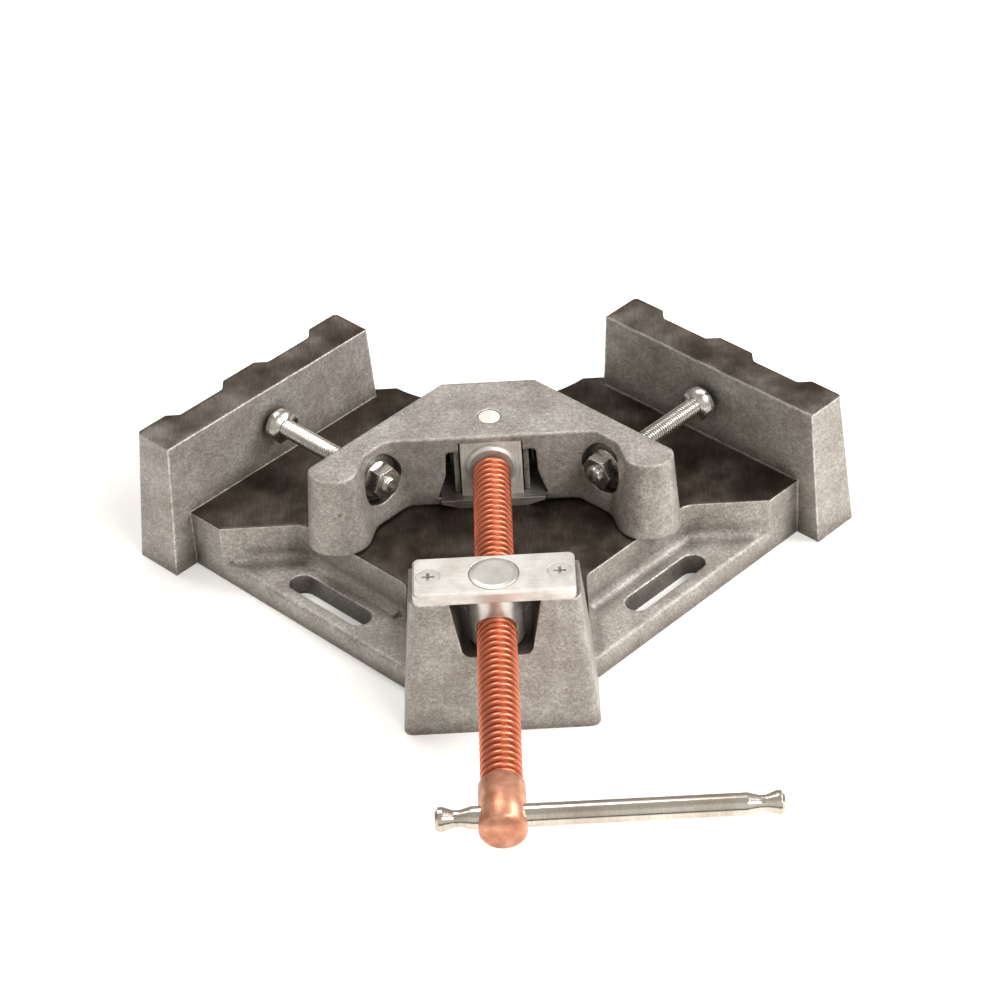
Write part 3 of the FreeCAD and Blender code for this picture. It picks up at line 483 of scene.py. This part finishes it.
# Painted shade in the thread's root and painted highlight on the crests, by distance from the axis.
crest = add(tree, "MapRange", (radius, 0.0064, SCREW_RADIUS)).outputs[0]
thread_shade_and_highlight = add(tree, "ValToRGB", (crest,), stops=((0.0, "6B2415"), (0.45, "A54C32"),
                                                     (0.85, "CC6F50"), (1.0, "DB8A6A"))).outputs[0]
head_colour = add(tree, "ValToRGB", (cloud,),
                  stops=((0.30, "C98769"), (0.55, "D6987A"), (0.72, "E0A98D"))).outputs[0]
head = add(tree, "MapRange", (axes["Y"], -0.0990, -0.0997)).outputs[0]
colour = add(tree, "Mix", {0: head, 6: thread_shade_and_highlight, 7: head_colour}, data_type="RGBA").outputs[2]
haze = add(tree, "ValToRGB", (cloud,), stops=((0.30, "CDB9AE"), (0.60, "FFFFFF"))).outputs[0]
colour = add(tree, "Mix", {0: 0.55, 6: colour, 7: haze}, data_type="RGBA",
             blend_type="MULTIPLY").outputs[2]
# Edges are painted bright, partly as wear and partly as painted highlight.
wear_and_highlight = add(tree, "MapRange", (bend, 0, 1, 0, 0.45)).outputs[0]
colour = add(tree, "Mix", {0: wear_and_highlight, 6: colour, 7: linear("F0B093")},
             data_type="RGBA").outputs[2]
marks = add(tree, "Bump", {"Height": rings, "Normal": rounded, "Strength": 0.18,
                           "Distance": 0.0001}).outputs[0]
metal = add(tree, "MapRange", (head, 0, 1, 0.85, 0.60)).outputs[0]
roughness = add(tree, "MapRange", (cloud, 0.3, 0.7, 0.40, 0.30)).outputs[0]
plate = add(tree, "BsdfPrincipled", {"Base Color": colour, "Metallic": metal,
                                     "Roughness": roughness, "Normal": marks}).outputs[0]
add(tree, "OutputMaterial", {"Surface": plate})
spindle.data.materials.append(copper)
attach(spindle, "screw")
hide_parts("spindle")


# ---- Tommy bar -----------------------------------------------------------------------------
# Drawn steel bar, nickel plated and polished: warm and mirror-like, with fine marks round it
# where it slides in the head. Its ends are pinched and swaged out, so it can't fall through.

dress("tommy_bar", brushed_steel("polished_nickel_bar", "D2C8BB", "E6DED3", 0.17, 0.5,
                                 (1, 0.1, 0.1), cloud_mm=16.0, metallic=0.9, mark_mm=0.01))


# ---- Thrust ring, block, pins and keeper ----------------------------------------------------
# Turned ring with a bright rim, milled block in the jaw's pocket, ground pins, and a ground
# keeper plate under the jaw with a little oil on it.

# A turned face is satin and bright.
dress("thrust_ring", brushed_steel("turned_ring_steel", "C6C2BC", "E6E3DE", 0.42, 0.4,
                                   metallic=0.7))
# Milling from the side leaves upright lines and a pale, nearly matt face.
dress("thrust_block", brushed_steel("milled_block_steel", "CBC6BF", "E4DFD8", 0.48, 0.7,
                                    (1, 1, 0.05), metallic=0.3))
# Ground pin ends are almost white.
pin_steel = brushed_steel("ground_pin_steel", "E2DDD6", "F6F3EE", 0.46, 0.5, metallic=0.4)
for node in ("jaw_pivot_pin", "retaining_pin_left", "retaining_pin_right"):
    dress(node, pin_steel)
# Oil darkens the ground plate and leaves its lines across the jaw.
dress("keeper_plate", brushed_steel("oiled_ground_plate", "9D9891", "C4BFB8", 0.36, 0.6,
                                    (0.05, 1, 1), metallic=0.7))


# ---- Jaw bolts -----------------------------------------------------------------------------
# M8 hexagon bolts, threaded all the way, bright zinc plated. They run through the jaw's arms
# with their heads towards the fences, and a nut locks each from behind.

BOLT_LENGTH = 0.065             # under the head
BOLT_REACH = 0.044              # from the jaw's clamping face to the underside of the head
ARM_FACE_X, ARM_FACE_Y = 0.056777, 0.102777     # where the bolt's line meets that face
BOLT_Z = 0.048
BOLT_RADIUS = 0.004
BOLT_PITCH = 0.00125
BOLT_THREAD_DEPTH = 0.00068
BOLT_CREST = 0.00022
BOLT_TIP_CHAMFER = 0.0009
for side, name in ((-1, "left"), (1, "right")):
    out = Vector((side, 1, 0)).normalized()
    face = Vector((side * ARM_FACE_X, ARM_FACE_Y, BOLT_Z))
    under_head = face + out * BOLT_REACH
    tip = under_head - out * BOLT_LENGTH
    turn = out.to_track_quat("Y", "Z").to_matrix().to_4x4()
    rod = thread(0.0, BOLT_LENGTH, BOLT_RADIUS, BOLT_THREAD_DEPTH, BOLT_PITCH, BOLT_CREST, 28,
                 BOLT_TIP_CHAMFER)
    bmesh.ops.transform(rod, matrix=Matrix.Translation(tip) @ turn, verts=rod.verts)
    bolt_head = part_of("jaw_bolt_" + name, under_head - out * OVERLAP, out)
    bolt = joined([rod, bolt_head], "jaw_bolt_threaded_" + name, 35)
    bolt.data.materials.append(zinc)
    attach(bolt, "bolt_" + name)
    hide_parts("jaw_bolt_" + name)
